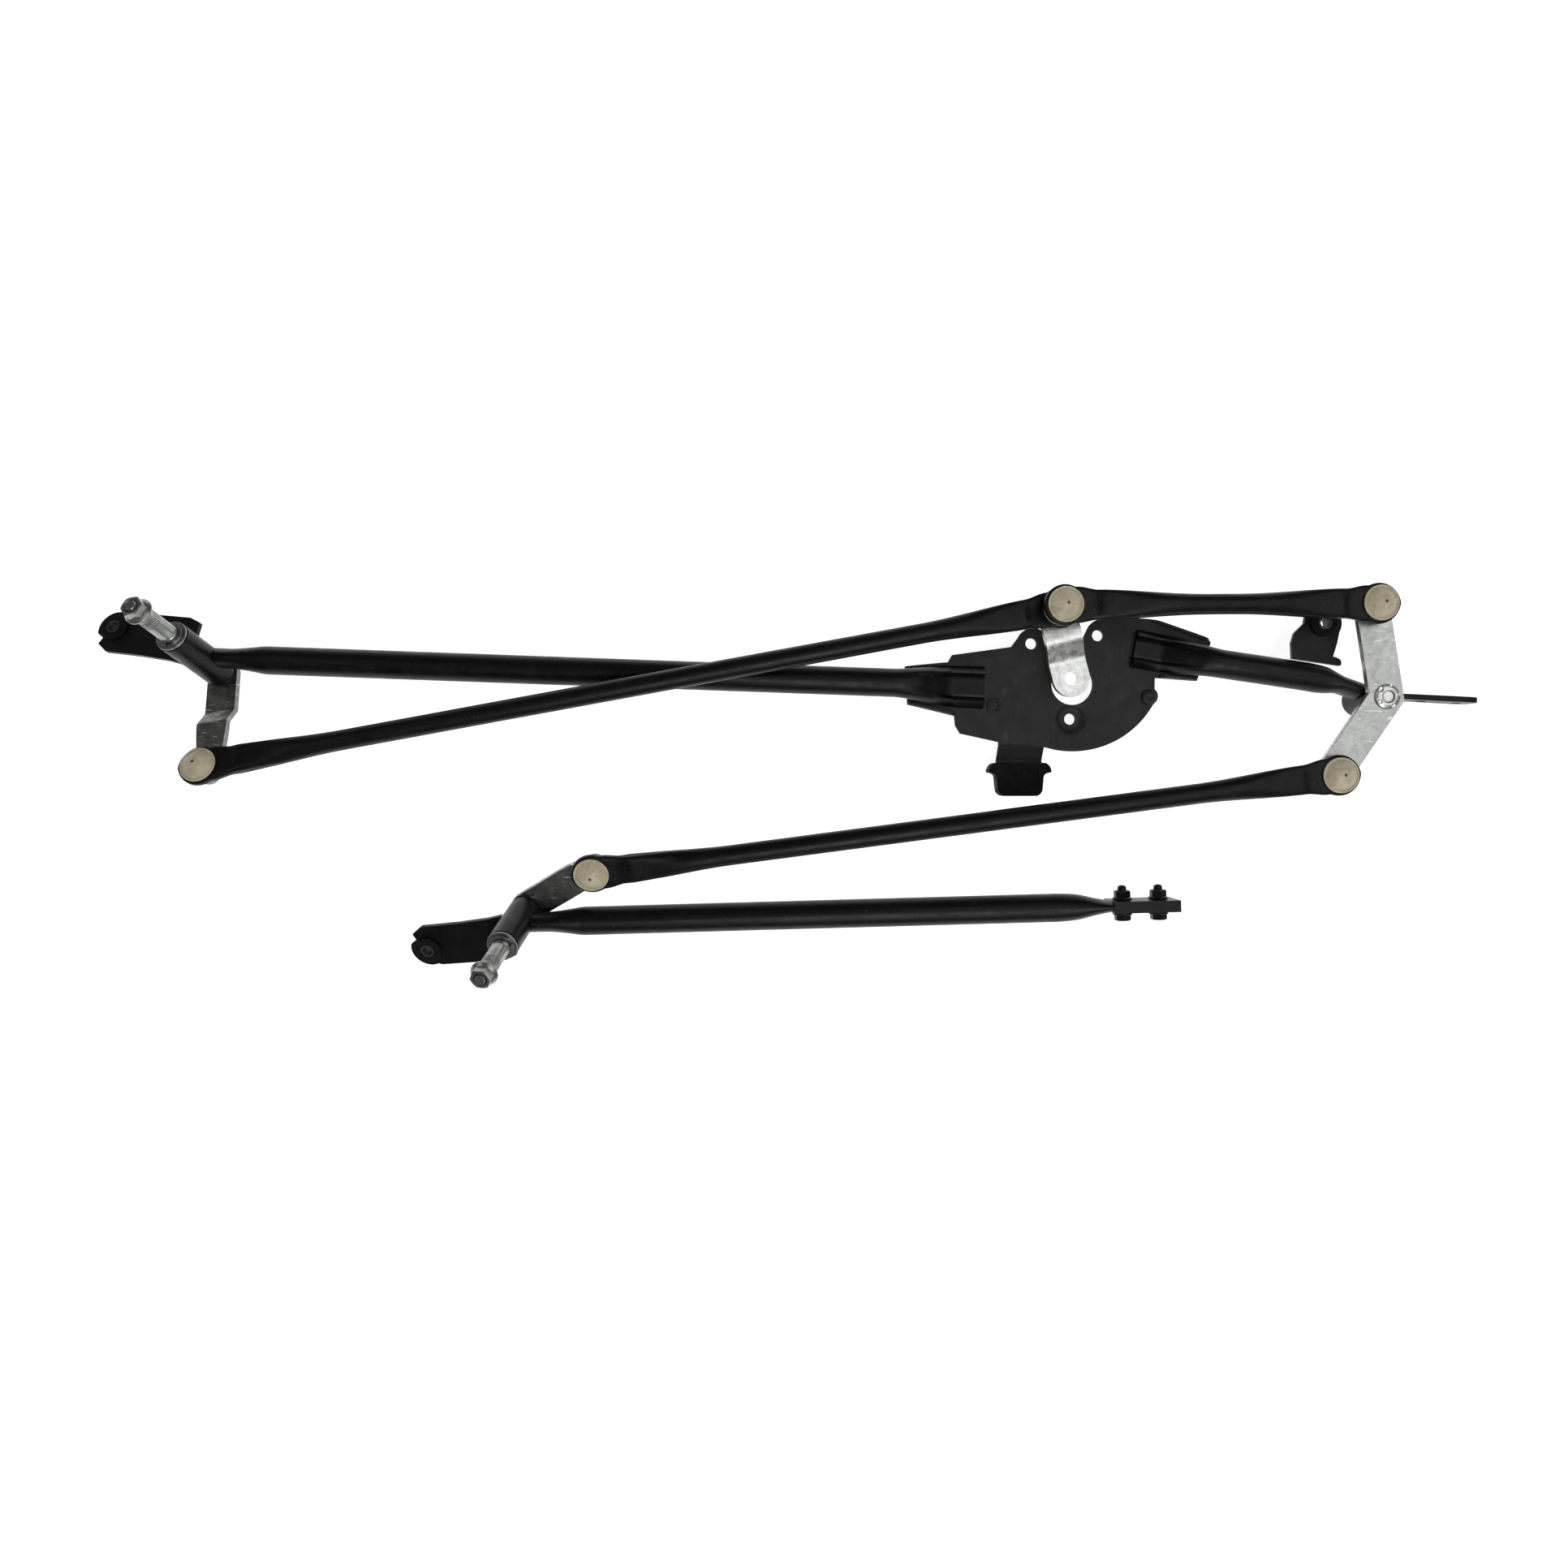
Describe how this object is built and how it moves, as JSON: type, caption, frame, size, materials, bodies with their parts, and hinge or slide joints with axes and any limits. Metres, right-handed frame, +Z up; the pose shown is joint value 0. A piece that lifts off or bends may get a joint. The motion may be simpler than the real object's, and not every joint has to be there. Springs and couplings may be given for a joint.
{
  "type": "windshield wiper linkage",
  "caption": "Windshield wiper linkage without its motor: tubular frame with motor plate, crank, bellcrank, ball-ended rods and tilted wiper pivots, folded for shipping.",
  "frame": {"origin": "the motor axis where it meets the top face of the motor plate", "axes": "+X along the frame from the left pivot to the bellcrank, +Y away from the folded second module, +Z up along the motor shaft, the side the wiper spindles stand out of"},
  "size_m": [0.9788, 0.2682, 0.1041],
  "materials": {
    "black_paint": "satin black paint",
    "plate_paint": "semi-matt warm black coating on pressed sheet",
    "bright_zinc": "bright zinc plating, mottled and scuffed",
    "dark_zinc": "dull grey zinc plating with scratches",
    "bright_steel": "nickel-bright turned steel",
    "cup_plastic": "beige-grey moulded acetal",
    "rubber": "matt black moulded rubber",
    "bronze": "oiled sintered bronze"
  },
  "bodies": {
    "frame": {"motor_plate": "plate_paint", "plate_foot": "rubber", "frame_tube_left": "black_paint", "frame_tube_right": "black_paint", "right_mount_bracket": "black_paint", "right_mount_grommet": "rubber", "right_mount_sleeve": "bright_steel", "splice_blade": "plate_paint", "bellcrank_barrel": "black_paint", "bellcrank_bush": "bronze", "left_pivot_barrel": "black_paint", "left_pivot_bush": "bronze", "left_pivot_bracket": "black_paint", "left_bracket_grommet": "rubber", "left_bracket_sleeve": "bright_steel"},
    "left_shaft": {"left_lever": "dark_zinc", "left_spindle": "bright_steel", "left_ball_stud": "bright_steel", "left_flange_nut": "bright_steel", "left_thrust_washer": "bright_steel", "left_circlip": "bright_steel"},
    "long_rod": {"long_rod": "black_paint", "long_rod_cup_left": "cup_plastic", "long_rod_cup_crank": "cup_plastic"},
    "crank": {"crank_arm": "bright_zinc", "crank_stud": "bright_steel"},
    "bellcrank": {"bellcrank_plate": "bright_zinc", "bellcrank_pin": "bright_zinc", "bellcrank_retaining_clip": "bright_steel", "bellcrank_stud_upper": "bright_steel", "bellcrank_stud_lower": "bright_steel"},
    "short_rod": {"short_rod": "black_paint", "short_rod_cup_crank": "cup_plastic", "short_rod_cup_bellcrank": "cup_plastic", "crank_stud_upper_ball": "bright_steel"},
    "lower_rod": {"lower_rod": "black_paint", "lower_rod_cup_second": "cup_plastic", "lower_rod_cup_bellcrank": "cup_plastic"},
    "second_shaft": {"second_lever": "dark_zinc", "second_spindle": "bright_steel", "second_ball_stud": "bright_steel", "second_flange_nut": "bright_steel", "second_thrust_washer": "bright_steel", "second_circlip": "bright_steel"},
    "second_carrier": {"second_pivot_barrel": "black_paint", "second_pivot_bush": "bronze", "second_pivot_bracket": "black_paint", "second_bracket_grommet": "rubber", "second_bracket_sleeve": "bright_steel", "frame_tube_second": "black_paint", "splice_bolt_inner": "plate_paint", "splice_nut_inner": "plate_paint", "splice_bolt_outer": "plate_paint", "splice_nut_outer": "plate_paint"}
  },
  "joints": [
    {"name": "left_wiper_turn", "type": "hinge", "parent": "frame", "child": "left_shaft", "pos_m": [-0.6068, 0.0069, 0], "axis": [-0.125, 0.355, 0.9265], "range_deg": [-30.5, 0.5]},
    {"name": "long_rod_swing", "type": "hinge", "parent": "left_shaft", "child": "long_rod", "pos_m": [-0.5983, -0.0621, 0.04], "axis": [-0.1464, 0.3739, 0.9159], "range_deg": [-0.5, 27.2]},
    {"name": "crank_turn", "type": "hinge", "parent": "long_rod", "child": "crank", "pos_m": [-0.012, 0.0469, 0.0286], "axis": [0.0046, 0.0097, 0.9999], "range_deg": [-0.5, 64]},
    {"name": "bellcrank_turn", "type": "hinge", "parent": "frame", "child": "bellcrank", "pos_m": [0.2125, -0.0143, 0], "axis": [0, 0, 1], "range_deg": [0, 36.17]},
    {"name": "short_rod_swing", "type": "hinge", "parent": "bellcrank", "child": "short_rod", "pos_m": [0.2029, 0.0487, 0.038], "axis": [-0.0028, 0.0008, 1], "range_deg": [-33.2, 0.5]},
    {"name": "lower_rod_swing", "type": "hinge", "parent": "bellcrank", "child": "lower_rod", "pos_m": [0.1756, -0.0684, 0.038], "axis": [0, 0, 1], "range_deg": [0, 120]},
    {"name": "second_shaft_swing", "type": "hinge", "parent": "lower_rod", "child": "second_shaft", "pos_m": [-0.3341, -0.1358, 0.031], "axis": [-0.12, -0.4129, 0.9028], "range_deg": [-20, 0]},
    {"name": "second_carrier_turn", "type": "hinge", "parent": "second_shaft", "child": "second_carrier", "pos_m": [-0.3853, -0.1619, 0], "axis": [-0.12, -0.4129, 0.9028], "range_deg": [-90, 0]}
  ],
  "couplings": [
    {"joint": "left_wiper_turn", "follows": "bellcrank_turn", "ratio": -0.82938},
    {"joint": "long_rod_swing", "follows": "bellcrank_turn", "ratio": 0.73058},
    {"joint": "crank_turn", "follows": "bellcrank_turn", "ratio": 1.7578},
    {"joint": "short_rod_swing", "follows": "bellcrank_turn", "ratio": -0.88192}
  ]
}
